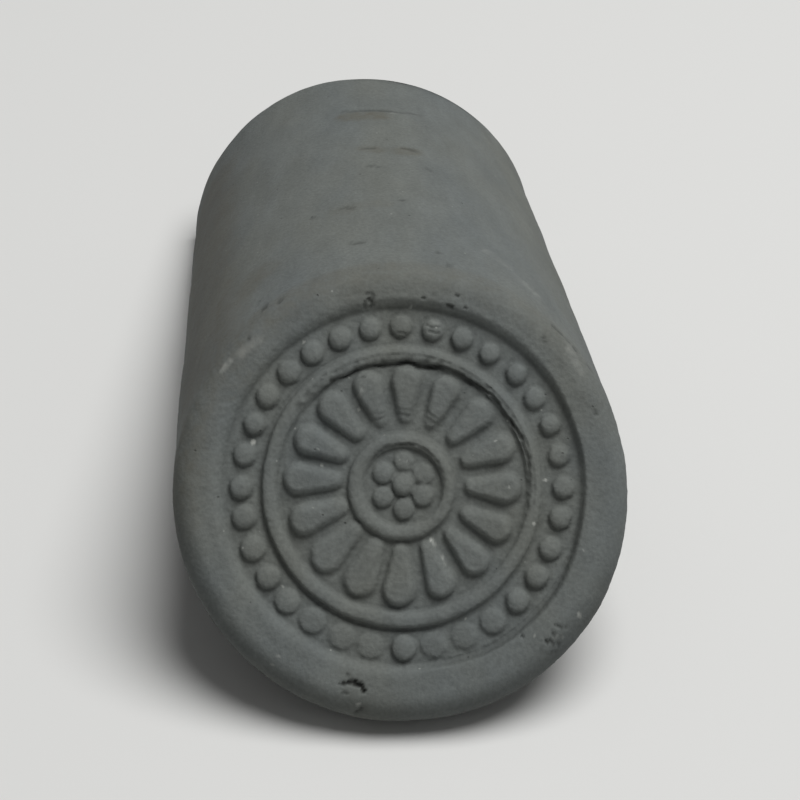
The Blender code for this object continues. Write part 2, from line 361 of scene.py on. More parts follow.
def bridge(bm, first, second):
    """Joins two runs of vertices, which may have different counts, with a strip of faces."""
    bmesh.ops.bridge_loops(bm, edges=chain(bm, first) + chain(bm, second))


def fold_lower_edges(bm, stations, disc_row, shell_row):
    """Splits the faces where the disc's back turns into the flat underside of the barrel's wall."""
    for outer, inner in ((stations.arch_steps, stations.arch_steps + 1), (0, -1)):
        bmesh.ops.connect_verts(bm, verts=[disc_row[outer], shell_row[inner]])


def tile_net(form, relief):
    """The whole tile as one closed net, still with a flat face."""
    head_edge = relief.head_radius + relief.head_width / 2.0
    petal_edge = relief.ring_radius - relief.ring_width / 2.0
    rim_start = relief.rim_radius + 0.8 * relief.rim_slope
    # Each band of the face has twice as many steps round as the one inside it
    middle, inner, petals, outer = [Stations(form, n * ARCH_STEPS, n * FOOT_STEPS) for n in (1, 2, 4, 8)]
    shell = Stations(form, 4 * ARCH_STEPS, FOOT_STEPS)
    bands = (
        face_loops(form, relief, middle, spaced(0.8 * FACE_STEP, relief.bead_circle, FACE_STEP)),
        face_loops(form, relief, inner, spaced(relief.bead_circle, head_edge, FACE_STEP)),
        face_loops(form, relief, petals, spaced(head_edge, petal_edge, FACE_STEP)),
        face_loops(form, relief, outer, spaced(petal_edge, rim_start, FACE_STEP))
        + rim_loops(form, relief, outer, rim_start, 1.2 * FACE_STEP),
        edge_loops(form, petals, EDGE_STEP),
    )
    bm = bmesh.new()
    rows = [add_band(bm, loops) for loops in bands]
    for first, second in zip(rows[:-1], rows[1:]):
        bridge(bm, first[-1] + first[-1][:1], second[0] + second[0][:1])
    tube = add_band(bm, shell_loops(form, shell, BARREL_STEP))
    fold_lower_edges(bm, shell, tube[0], tube[1])
    disc_row, tube_row, corner = rows[-1][-1], tube[0], shell.arch_steps
    bridge(bm, disc_row[:corner + 1], tube_row[:corner + 1])
    bridge(bm, disc_row[corner:] + disc_row[:1], tube_row[corner:] + tube_row[:1])
    bm.faces.new(rows[0][0])
    bm.faces.new(tube[-1])
    bmesh.ops.recalc_face_normals(bm, faces=bm.faces)
    return bm


def round_arrises(bm, width):
    """Rounds the long lower edges, the rear end and the back edge of the disc."""
    sharp_turn = math.radians(50.0)
    sharp = [edge for edge in bm.edges if edge.calc_face_angle(0.0) > sharp_turn]
    bmesh.ops.bevel(bm, geom=sharp, offset=width, offset_type="OFFSET", segments=3, profile=0.5,
                    affect="EDGES", material=-1, clamp_overlap=True)


def soft_max(first, second, soft):
    """The higher of two heights, with the corner between them filled."""
    near = np.maximum(soft - np.abs(first - second), 0.0) / soft
    return np.maximum(first, second) + near * near * soft / 4.0


def dome(distance, radius, height, fullness=2.4):
    """Height of a round cushion at a distance from its middle. It falls below the field outside."""
    inside = 1.0 - (distance / radius) ** fullness
    return height * np.where(inside > 0.0, np.sqrt(np.abs(inside)), inside)


def ramp(value, start, end):
    """0 up to the start, 1 from the end on, and a smooth rise between."""
    return smooth_step((value - start) / (end - start))


def arc(angle, middle, half, fade):
    """1 within half a stretch either side of its middle, in degrees round the disc, fading to 0 beyond."""
    away = np.abs((np.degrees(angle) - middle + 180.0) % 360.0 - 180.0)
    return ramp(away, half + fade, half)


def wave(angle, seed, turns=1.0):
    """A slow uneven wave round the disc, from -1 to 1."""
    spots = [Vector((math.sin(a) * turns, math.cos(a) * turns, seed)) for a in angle]
    return np.array([noise.noise(spot) for spot in spots]) * NOISE_GAIN


def to_knob(across, up, circle, middle, number):
    """Distance from each place to its own knob, by number, of those that stand at angles on a circle."""
    return np.hypot(across - (circle * np.sin(middle))[number], up - (circle * np.cos(middle))[number])


# Pearls that were pressed flat and spread, by number from the top, with the share of the height they kept
FLAT_PEARLS = {13: 0.62, 14: 0.50, 15: 0.42, 17: 0.45, 18: 0.52, 19: 0.60, 20: 0.85}


def pearl_relief(relief, across, up):
    """The ring of pearls, no two quite alike."""
    rng = np.random.default_rng(7)
    count = relief.pearls
    pitch = 2.0 * math.pi / count
    middle = np.arange(count) * pitch
    spread = 0.13 * arc(middle, 195.0, 50.0, 60.0)
    radius = relief.pearl_radius * (1.0 + rng.uniform(-0.03, 0.03, count) + spread)
    height = relief.pearl_height * (1.0 + rng.uniform(-0.10, 0.10, count))
    for number, share in FLAT_PEARLS.items():
        height[number] *= share
        radius[number] *= 1.04
    circle = relief.pearl_circle + rng.uniform(-0.25, 0.25, count) * MM
    middle = middle + rng.uniform(-0.04, 0.04, count) * pitch
    nearest = np.round(np.arctan2(across, up) / pitch).astype(int) % count
    return dome(to_knob(across, up, circle, middle, nearest), radius[nearest], height[nearest])


def petal_relief(relief, across, up):
    """The petals: cushions between two round ends, the inner one lower."""
    rng = np.random.default_rng(11)
    count = relief.petals
    pitch = 2.0 * math.pi / count
    middle = np.arange(count) * pitch
    lag = np.radians(1.3) * arc(middle, 295.0, 30.0, 50.0)
    middle = middle + relief.petal_turn + lag + rng.uniform(-0.006, 0.006, count)
    nearest = np.round((np.arctan2(across, up) - relief.petal_turn) / pitch).astype(int) % count
    sine, cosine = np.sin(middle)[nearest], np.cos(middle)[nearest]
    along = across * sine + up * cosine
    beside = np.abs(across * cosine - up * sine)
    # The lowest three petals spread the most
    grow = (1.0 + rng.uniform(-0.04, 0.04, count) + 0.12 * arc(middle, 205.0, 24.0, 12.0))[nearest]
    tip, head = relief.petal_tip * grow, relief.petal_head * grow
    start = relief.petal_inner + relief.petal_tip - 0.5 * MM * arc(middle, 205.0, 40.0, 40.0)[nearest]
    run = relief.petal_outer - relief.petal_head - start
    narrowing = (tip - head) / run
    flank = np.sqrt(1.0 - narrowing ** 2)
    place = -narrowing * beside + flank * (along - start)
    distance = flank * beside + narrowing * (along - start) - tip
    distance = np.where(place < 0.0, np.hypot(beside, along - start) - tip, distance)
    distance = np.where(place > flank * run, np.hypot(beside, along - start - run) - head, distance)
    rise = np.clip(-distance / relief.petal_shoulder, 0.0, 1.0)
    fall = 0.84 + 0.16 * ramp(along, relief.petal_inner, relief.petal_outer - relief.petal_head)
    # The mould slipped under the top three petals, which left a step across their inner ends
    slipped = np.isin(nearest, (0, 1, count - 1))
    slant = along + 0.15 * (across * cosine - up * sine)
    steps = 0.13 * ramp(slant, 21.9 * MM, 21.3 * MM) + 0.18 * ramp(slant, 20.4 * MM, 19.8 * MM)
    fall = fall - slipped * steps
    fall = fall * (1.0 - 0.25 * arc(middle, 215.0, 18.0, 20.0))[nearest]
    height = relief.petal_height * fall * (1.0 - (1.0 - rise) ** 2.3)
    return np.where(distance < 0.0, height, -distance)


def bead_relief(relief, across, up):
    """The seed head's beads: a proud one and the uneven ones round it, worn at the upper right."""
    rng = np.random.default_rng(5)
    pitch = 2.0 * math.pi / relief.beads
    number = np.round(np.arctan2(across, up) / pitch).astype(int) % relief.beads
    middle = np.arange(relief.beads) * pitch + rng.uniform(-0.05, 0.05, relief.beads)
    circle = relief.bead_circle + rng.uniform(-0.3, 0.3, relief.beads) * MM
    radius = relief.bead_radius * (1.0 + rng.uniform(-0.05, 0.08, relief.beads))
    worn = 1.0 - 0.35 * arc(middle, 30.0, 35.0, 20.0)
    distance = to_knob(across, up, circle, middle, number)
    ring = dome(distance, radius[number], (relief.bead_height * worn)[number])
    proud = dome(np.hypot(across, up), 1.08 * relief.bead_radius, 1.3 * relief.bead_height)
    return soft_max(ring, proud, 0.3 * MM)


# Where clay tore round each ridge's inner foot: angle in degrees, radius in mm, and how badly
RING_TEAR = (
    (-66.0, 37.2, 0.0), (-56.0, 36.6, 0.2), (-38.0, 35.4, 0.4), (-31.0, 35.5, 0.75), (-27.0, 35.0, 0.8),
    (-18.0, 35.5, 0.7), (-13.0, 35.0, 0.85), (-8.0, 34.6, 1.0), (-3.5, 34.5, 1.0), (0.0, 34.9, 0.85),
    (4.8, 34.9, 0.85), (6.8, 34.3, 1.0), (11.0, 34.2, 1.0), (14.5, 34.7, 0.95), (18.0, 35.4, 0.95),
    (23.0, 35.9, 1.0), (30.0, 35.3, 0.95), (39.0, 35.6, 0.9), (44.0, 36.3, 0.9), (54.0, 35.5, 0.8),
    (60.0, 35.9, 0.85), (65.0, 36.4, 0.85), (71.0, 36.3, 0.8), (78.0, 36.7, 0.7), (85.0, 36.0, 0.55),
    (98.0, 35.7, 0.35), (114.0, 35.4, 0.0),
)
HEAD_TEAR = (
    (-55.0, 11.4, 0.0), (-40.0, 11.4, 0.45), (-25.0, 11.9, 0.7), (0.0, 11.7, 1.0), (20.0, 12.3, 0.8),
    (60.0, 12.0, 0.4), (100.0, 11.6, 0.0),
)


def tear_depth(places, radius, angle, seed):
    """How deep the clay tore along one ridge, from 0 to 1."""
    degrees, line, strength = np.array(places).T
    at = np.degrees(angle)
    ragged = 0.20 * wave(angle, seed, 8.0) + 0.14 * wave(angle, seed + 2.0, 20.0)
    strength = np.interp(at, degrees, strength, left=0.0, right=0.0)
    strength = strength * np.clip(0.90 + 0.4 * wave(angle, seed + 4.0, 6.0), 0.5, 1.1)
    half = 0.46 + 0.16 * wave(angle, seed + 6.0, 10.0)
    return strength * np.exp(-((radius / MM - np.interp(at, degrees, line) - ragged) / half) ** 2)


def scar_share(relief, radius, angle):
    """Where the ring's inner shoulder lost its skin along the tear."""
    inner = relief.ring_radius - 0.45 * relief.ring_width
    band = ramp(radius, inner - 0.4 * MM, inner)
    band = band * ramp(radius, relief.ring_radius + 0.6 * MM, relief.ring_radius)
    return band * arc(angle, 22.0, 72.0, 14.0)


def rim_relief(relief, radius, angle):
    """Where the rim's foot lies and how high it stands. It is crisp on the right, softer on the left."""
    # It stands off further at the lower right
    start = relief.rim_radius + 0.35 * MM * np.cos(angle - math.radians(45.0))
    start = start + 1.3 * MM * arc(angle, 138.0, 12.0, 25.0)
    softness = 0.6 * arc(angle, 262.0, 60.0, 50.0) - 0.45 * arc(angle, 115.0, 45.0, 30.0)
    slope = relief.rim_slope * (1.0 + softness)
    return start, relief.depth * (1.0 - np.clip(1.0 - (radius - start) / slope, 0.0, 1.0) ** 2.5)


# How deep the clay tore, and how deep the mould's edges cut
TEAR_DEPTH = 0.75 * MM
CUT_DEPTH = 0.45 * MM


def relief_height(relief, across, up):
    """Height of the pressed relief over the field, and how dark it is painted where it is torn or cut:
    painted shade in those grooves, with some soot.
    """
    radius, angle = np.hypot(across, up), np.arctan2(across, up)
    flower_across, flower_up = across - relief.flower_right, up - relief.flower_up
    head = np.abs(radius - relief.head_radius)
    ring = np.abs(radius - relief.ring_radius - 0.15 * MM * wave(angle, seed=12.0, turns=3.0))
    rim_start, rim = rim_relief(relief, radius, angle)
    height = np.zeros_like(radius)
    for raised in (
        dome(head, relief.head_width / 2.0, relief.head_height, fullness=2.0),
        dome(ring, relief.ring_width / 2.0, relief.ring_height),
        bead_relief(relief, flower_across, flower_up),
        petal_relief(relief, flower_across, flower_up),
        pearl_relief(relief, across, up),
        rim,
    ):
        height = soft_max(height, raised, soft=0.5 * MM)
    # The mould's edges cut lines: round the ring's outer foot on the left and the rim's at the lower right
    ring_foot = relief.ring_radius + 0.5 * relief.ring_width + 0.2 * MM
    ring_cut = np.exp(-((radius - ring_foot) / (0.8 * MM)) ** 2) * arc(angle, 245.0, 70.0, 30.0)
    rim_cut = np.exp(-((radius - rim_start - 0.4 * MM) / (0.75 * MM)) ** 2) * arc(angle, 134.0, 26.0, 24.0)
    height = height - CUT_DEPTH * np.maximum(ring_cut, rim_cut)
    torn = tear_depth(RING_TEAR, radius, angle, seed=3.0)
    torn = torn + 0.8 * tear_depth(HEAD_TEAR, radius, angle, seed=21.0)
    scar = scar_share(relief, radius, angle)
    places = np.stack((across, up, np.zeros_like(across)), axis=-1)
    rough = roughen(places, 2.0 * MM, seed=15.0)
    height = height - TEAR_DEPTH * torn - scar * (0.30 + 0.22 * rough) * MM
    # Painted shade, with some soot, darkens the torn trenches; the scar's bared clay darkens too
    dark = 0.85 * torn + 0.25 * scar * ramp(rough, 0.1, 0.8)
    # The cut lines get painted shade
    dark = np.maximum(dark, np.maximum(0.22 * ring_cut, 0.40 * rim_cut))
    return height, np.clip(dark, 0.0, 1.0)


# Pits and gashes on the disc, in mm: from and to, across and up from the rings' middle, half width, depth
DISC_PITS = (
    (-10.2, 54.3, -9.2, 54.5, 0.8, 0.25), (-8.6, 54.0, -8.5, 52.9, 0.8, 0.4),
    (-9.6, 52.6, -8.9, 51.9, 1.0, 0.6), (-10.6, 51.8, -10.6, 50.5, 0.8, 0.3),
    (-8.9, 50.6, -8.4, 50.9, 0.7, 0.35), (-39.9, 50.8, -38.4, 51.6, 0.7, 0.45),
    (-35.2, 52.0, -34.4, 52.5, 0.6, 0.35), (-43.6, 41.8, -42.9, 41.3, 0.6, 0.35),
    (5.7, 53.2, 6.3, 53.1, 0.7, 0.4), (12.9, 50.8, 13.9, 50.4, 0.9, 0.55),
    (15.3, 54.1, 15.8, 53.9, 0.6, 0.35), (17.5, 50.5, 18.1, 50.2, 0.7, 0.4),
    (40.1, 42.2, 40.4, 40.6, 0.7, 0.35), (54.6, 21.2, 54.9, 20.5, 0.6, 0.4),
    (6.6, 46.0, 8.2, 45.0, 0.55, 0.25), (8.2, 45.0, 10.8, 45.4, 0.55, 0.22),
    (7.4, 43.8, 10.4, 43.2, 0.55, 0.3), (-1.2, 43.4, 1.0, 43.0, 0.6, 0.25),
    (-22.8, 31.0, -21.8, 31.4, 0.6, 0.3), (-11.9, 30.6, -10.9, 30.8, 0.5, 0.3),
    (-18.0, -55.2, -16.8, -55.4, 0.6, 0.4), (-17.1, -55.3, -15.6, -54.8, 0.8, 0.7),
    (-15.6, -54.8, -13.7, -55.0, 0.9, 0.95), (-13.7, -55.0, -12.1, -55.8, 1.1, 1.2),
    (-12.1, -55.8, -11.2, -57.4, 0.9, 1.1), (-16.8, -57.5, -16.1, -57.7, 0.7, 0.45),
    (-15.9, -52.7, -15.5, -52.9, 0.6, 0.4), (-12.0, -62.5, -11.8, -62.8, 0.8, 0.6),
    (-13.3, -63.4, -13.1, -63.6, 0.8, 0.6), (42.4, -39.0, 45.8, -40.0, 0.55, 0.45),
    (41.6, -41.4, 44.2, -42.6, 0.55, 0.5), (40.2, -43.4, 41.6, -44.2, 0.75, 0.75),
    (41.6, -44.2, 44.0, -44.6, 0.55, 0.5), (42.0, -46.6, 43.0, -47.0, 0.6, 0.4),
    (38.3, -46.0, 41.0, -47.6, 0.8, 0.18), (33.1, -42.1, 33.5, -42.3, 0.6, 0.45),
    (43.4, 46.4, 46.4, 43.4, 0.6, 0.55), (46.9, 42.6, 48.1, 41.6, 0.5, 0.25),
    (49.6, 39.9, 50.4, 38.9, 0.6, 0.3), (53.4, 34.9, 54.4, 33.4, 0.5, 0.25),
)

# Wear on the barrel, as above: back from the middle of the disc and round from the top
BARREL_PITS = (
    (183.4, -10.8, 182.4, -4.0, 1.2, 0.2),
    (182.4, -4.0, 182.0, 6.0, 1.3, 0.34),
    (182.0, 6.0, 184.5, 16.9, 1.2, 0.2),
    (141.9, -5.4, 142.2, -2.6, 1.4, 0.22),
    (143.2, 8.0, 142.2, 11.2, 1.5, 0.26),
    (124.0, -5.0, 123.4, -1.4, 1.2, 0.2),
    (125.0, 14.4, 124.8, 15.2, 1.2, 0.25),
    (91.3, 3.4, 91.3, 4.1, 1.2, 0.35),
    (88.1, -15.0, 85.9, -11.4, 1.2, 0.2),
    (86.6, -24.4, 86.0, -22.6, 1.1, 0.18),
    (57.3, -13.8, 56.2, -9.6, 1.2, 0.28),
    (49.8, 11.0, 49.6, 11.9, 1.2, 0.28),
    (39.9, 13.4, 39.8, 14.2, 1.1, 0.28),
    (39.5, -42.2, 39.2, -41.0, 1.3, 0.25),
)

# Chips off the long lower edges, as above
EDGE_CHIPS = (
    (161.0, 97.0, 168.0, 97.0, 2.2, 0.8),
    (96.0, 97.0, 99.0, 97.0, 1.8, 0.6),
    (128.0, -97.0, 133.0, -97.0, 2.4, 0.9),
    (71.0, -97.0, 73.0, -97.0, 1.8, 0.6),
)

# Burst lime on the disc: a place, a radius and how white it is
DISC_FLECKS = (
    (-42.1, 12.4, 0.75, 1.0), (-28.0, 40.6, 0.5, 0.6), (2.4, 50.7, 0.4, 0.4),
    (-22.9, 5.8, 0.5, 0.5), (-12.4, 21.5, 0.5, 0.4), (26.1, 12.8, 0.45, 0.6),
    (40.7, 1.7, 0.5, 0.85), (29.9, -0.4, 0.45, 0.5), (-25.5, -6.3, 0.35, 0.4),
    (-33.8, -28.1, 0.35, 0.4), (-34.7, -47.6, 0.4, 0.35), (-36.5, -50.3, 0.45, 0.35),
    (37.1, -10.8, 0.65, 0.75), (8.0, -15.1, 0.55, 0.9), (11.3, -20.4, 0.45, 0.5),
    (51.0, -18.3, 0.4, 0.4), (49.6, -36.2, 0.6, 0.6), (17.6, -37.4, 0.35, 0.4),
    (36.8, -42.3, 0.4, 0.45), (-53.0, 24.7, 0.4, 0.35), (-12.6, -61.3, 0.6, 0.4),
    (-1.0, 7.2, 0.3, 0.35), (1.2, 7.0, 0.3, 0.45), (-24.0, 10.2, 0.35, 0.3),
)

# Lime rubbed into the skin, and earth, placed as pits are, with a strength in place of a depth
DISC_SMEARS = (
    (-51.4, 32.0, -48.6, 35.4, 1.0, 0.7),
    (-46.0, 37.0, -41.0, 41.0, 1.8, 0.25),
    (47.6, 39.4, 50.6, 32.8, 1.6, 0.25),
    (8.0, -14.8, 9.2, -16.4, 0.7, 0.5),
    (11.0, -19.6, 12.0, -22.0, 0.7, 0.3),
    (-13.2, 24.0, -11.6, 27.0, 0.8, 0.25),
    (42.4, -42.6, 44.6, -42.4, 0.7, 0.3),
    (8.6, 46.4, 10.0, 46.2, 0.6, 0.22),
)
BARREL_SMEARS = (
    (181.0, 6.0, 181.4, 7.2, 1.0, 0.35),
    (62.0, 28.0, 57.0, 34.0, 3.0, 0.16),
    (52.0, 37.0, 47.0, 43.0, 2.6, 0.2),
)
BARREL_EARTH = (
    (177.0, -9.0, 176.5, 1.0, 6.0, 0.72),
    (140.0, 7.0, 141.0, 10.0, 5.0, 0.6),
    (142.0, -5.0, 140.0, -1.0, 4.0, 0.45),
    (86.0, -16.0, 88.0, -2.0, 4.5, 0.22),
    (190.0, -71.0, 30.0, -65.0, 20.0, 0.6),
    (60.0, -43.0, 44.0, -67.0, 9.0, 0.45),
)


def on_disc(points, form, relief):
    """Places across and up the disc from the rings' middle, in mm. Those behind its edge are far off."""
    # A metre, in mm, is out of every mark's reach
    behind = (points @ form.out < -form.sizes.edge_round - MM).astype(float)
    return np.stack((points[:, 0] + behind, points @ form.up - relief.rise), axis=-1) / MM


def on_barrel(points, form):
    """Places back along the barrel and round its outside, in mm. Those inside it are far off."""
    height = points[:, 2] - form.axis_height
    inside = np.hypot(points[:, 0], height) < form.sizes.rear_radius - form.sizes.wall / 2.0
    around = form.sizes.rear_radius * np.arctan2(points[:, 0], height)
    return np.stack((points[:, 1], around + inside), axis=-1) / MM


def near_stroke(places, start, end, half_width, ragged):
    """How much of a stroke each place gets: 1 on its line, falling to 0 at its ragged half width."""
    run = end - start
    share = np.clip((places - start) @ run / (run @ run), 0.0, 1.0)
    distance = np.linalg.norm(places - start - share[:, None] * run, axis=1)
    steepness = 1.6
    return smooth_step(steepness - steepness * distance / (half_width * (1.0 + 0.35 * ragged)))


def roughen(points, scale, seed):
    """Even noise at a scale in metres, about -1 to 1."""
    shift = Vector((seed, seed * 0.7, -seed))
    return np.array([noise.noise(Vector(point) / scale + shift) for point in points]) * NOISE_GAIN


def read_points(mesh):
    """The mesh's points as rows of an array."""
    points = np.empty(len(mesh.vertices) * 3, dtype=np.float32)
    mesh.vertices.foreach_get("co", points)
    return points.reshape(-1, 3).astype(float)


def read_normals(mesh):
    """The mesh's normals, point by point, as they now are."""
    mesh.update()
    normals = np.empty(len(mesh.vertices) * 3, dtype=np.float32)
    mesh.vertex_normals.foreach_get("vector", normals)
    return normals.reshape(-1, 3).astype(float)


def creases(mesh, points, normals):
    """How far each point lies in a hollow between its neighbours, smoothed over a few of them."""
    pairs = np.empty(len(mesh.edges) * 2, dtype=np.int32)
    mesh.edges.foreach_get("vertices", pairs)
    first, second = pairs.reshape(-1, 2).T
    links = np.bincount(pairs, minlength=len(points)).astype(float)

    def average(values):
        total = np.zeros_like(values)
        np.add.at(total, first, values[second])
        np.add.at(total, second, values[first])
        return total / (links[:, None] if values.ndim == 2 else links)

    hollow = np.einsum("ij,ij->i", average(points) - points, normals)
    for _ in range(3):
        hollow = (hollow + average(hollow)) / 2.0
    return hollow


def paint_marks_and_shade(mesh, dark, pale, earth, crease_shade):
    """Keeps the wear and the painted shade on the mesh, so that the clay's colour can follow it."""
    layer = mesh.color_attributes.new(name=MARKS_LAYER, type="FLOAT_COLOR", domain="POINT")
    values = np.clip(np.stack((dark, pale, earth, crease_shade), axis=-1), 0.0, 1.0).astype(np.float32)
    layer.data.foreach_set("color", values.ravel())


def stroke_shares(places, rows, ragged):
    """How much of any stroke each place gets, and the most that its strokes amount to."""
    share, amount = np.zeros(len(places)), np.zeros(len(places))
    for row in np.array(rows):
        here = near_stroke(places, row[0:2], row[2:4], row[4], ragged)
        share = np.maximum(share, here)
        amount = np.maximum(amount, here * row[5])
    return share, amount


def lime_flecks(places):
    """How white each place on the disc is from burst lime."""
    pale = np.zeros(len(places))
    for across, up, radius, white in DISC_FLECKS:
        distance = np.hypot(places[:, 0] - across, places[:, 1] - up)
        pale = np.maximum(pale, white * ramp(distance, 1.2 * radius, 0.5 * radius))
    return pale


def earth_share(disc, barrel, patchy):
    """How brown each point is from earth on the barrel and the disc's upper edge, most on the left."""
    radius, angle = np.hypot(*disc.T), np.arctan2(*disc.T)
    _, earth = stroke_shares(barrel, BARREL_EARTH, 0.5 * patchy)
    band = np.exp(-((radius - 61.5) / 6.0) ** 2) * arc(angle, -10.0, 75.0, 30.0)
    band = band * (0.65 - 0.35 * np.sin(angle))
    return np.maximum(earth * (0.4 + 0.6 * patchy), 0.55 * band * (0.35 + 0.65 * patchy))


def low_shade_and_grime(disc, barrel):
    """How dark each point is along the disc's lower edge and low on the barrel's sides: painted shade where
    shade falls, with some grime.
    """
    foot = 0.40 * ramp(np.hypot(*disc.T), 57.5, 65.0) * arc(np.arctan2(*disc.T), 192.0, 62.0, 45.0)
    along, around = barrel[:, 0], np.abs(barrel[:, 1])
    sides = 0.16 * ramp(along, 8.0, 50.0) * ramp(around, 35.0, 80.0) * (around < 120.0)
    return np.maximum(foot, sides)


def press_relief(points, form, relief):
    """Presses the relief into the flat face. Gives back how dark each point is painted in the tears and
    cuts: painted shade, with some soot.
    """
    out = points @ form.out
    across, up = points[:, 0], points @ form.up - relief.rise
    flat_radius = form.sizes.disc_radius - form.sizes.edge_round
    hair = 0.01 * MM
    face = (np.abs(out) < hair) & (np.hypot(across, up + relief.rise) < flat_radius + hair)
    height, face_dark = relief_height(relief, across[face], up[face])
    points[face] += np.outer(height - relief.depth, form.out)
    # The mould came away up and to the right, so what stands proud leans down and to the left
    in_rim = ramp(np.hypot(across, up)[face], relief.rim_radius, 0.97 * relief.rim_radius)
    lean = relief.drag * height * in_rim
    points[face] -= np.outer(lean * math.sqrt(0.5), form.up + np.array((1.0, 0.0, 0.0)))
    dark = np.zeros(len(points))
    dark[face] = face_dark
    return dark


# How deep a hollow between neighbouring points is when its painted shade is full
CREASE_SHADE_DEPTH = 0.035 * MM


def press_wear_and_shade(mesh, form, relief):
    """Presses the relief, makes the surface uneven and puts the wear and the painted shade on it. Gives
    back the points.
    """
    points = read_points(mesh)
    dark = press_relief(points, form, relief)
    mesh.vertices.foreach_set("co", points.astype(np.float32).ravel())
    normals = read_normals(mesh)

    ragged = roughen(points, 0.9 * MM, seed=4.0)
    patchy = 0.5 + 0.5 * roughen(points, 2.2 * MM, seed=8.0)
    disc, barrel = on_disc(points, form, relief), on_barrel(points, form)
    pits = stroke_shares(disc, DISC_PITS, ragged), stroke_shares(barrel, BARREL_PITS, ragged)
    pitted, dent = np.maximum(*pits)
    dark = np.maximum(dark, np.minimum(0.18 * pitted + 0.9 * dent, 0.90))
    # Painted shade, with some grime, darkens the disc's lower edge and the barrel's lower sides
    dark = np.maximum(dark, low_shade_and_grime(disc, barrel))
    smears = stroke_shares(disc, DISC_SMEARS, ragged), stroke_shares(barrel, BARREL_SMEARS, ragged)
    pale = np.maximum(lime_flecks(disc), np.maximum(*smears)[1] * patchy)
    dent = np.maximum(dent, stroke_shares(barrel, EDGE_CHIPS, ragged)[1])
    earth = earth_share(disc, barrel, patchy)

    # The skin swells and sinks by tenths of a millimetre, mostly inside the solid's
    swell = roughen(points, 34.0 * MM, seed=1.0) * 0.30 + roughen(points, 12.0 * MM, seed=2.0) * 0.12 - 0.28
    # Only the disc's net is fine enough for the smallest unevenness
    fine = disc[:, 0] < 2.0 * form.sizes.disc_radius / MM
    uneven = roughen(points, 3.8 * MM, seed=3.0) * np.where(fine, 0.080, 0.045)
    uneven = uneven + roughen(points, 1.5 * MM, seed=6.0) * np.where(fine, 0.075, 0.0)
    points += normals * ((swell + uneven - dent) * MM)[:, None]
    mesh.vertices.foreach_set("co", points.astype(np.float32).ravel())
    # Hollows get painted shade in the crease channel, with some residue
    hollow = creases(mesh, points, read_normals(mesh))
    paint_marks_and_shade(mesh, dark, pale, earth, hollow / CREASE_SHADE_DEPTH)
    return points


def lay_down(mesh, form, points):
    """Puts the tile in its resting place, with nothing below the ground."""
    turn, shift = form.resting_pose()
    placed = points @ turn.T + shift
    placed[:, 2] = np.maximum(placed[:, 2], 0.0)
    mesh.vertices.foreach_set("co", placed.astype(np.float32).ravel())
    mesh.update()


def linear(hex_text):
    """An sRGB hex colour as linear RGBA."""
    parts = [int(hex_text[place:place + 2], 16) / 255.0 for place in (1, 3, 5)]
    return tuple(p / 12.92 if p <= 0.04045 else ((p + 0.055) / 1.055) ** 2.4 for p in parts) + (1.0,)


def add_node(tree, kind, inputs, **settings):
    """Adds a node with its settings. Each input is a plain value or the output that feeds it."""
    node = tree.nodes.new(kind)
    for name, value in settings.items():
        setattr(node, name, value)
    for socket, value in inputs.items():
        if isinstance(value, bpy.types.NodeSocket):
            tree.links.new(value, node.inputs[socket])
        else:
            node.inputs[socket].default_value = value
    return node


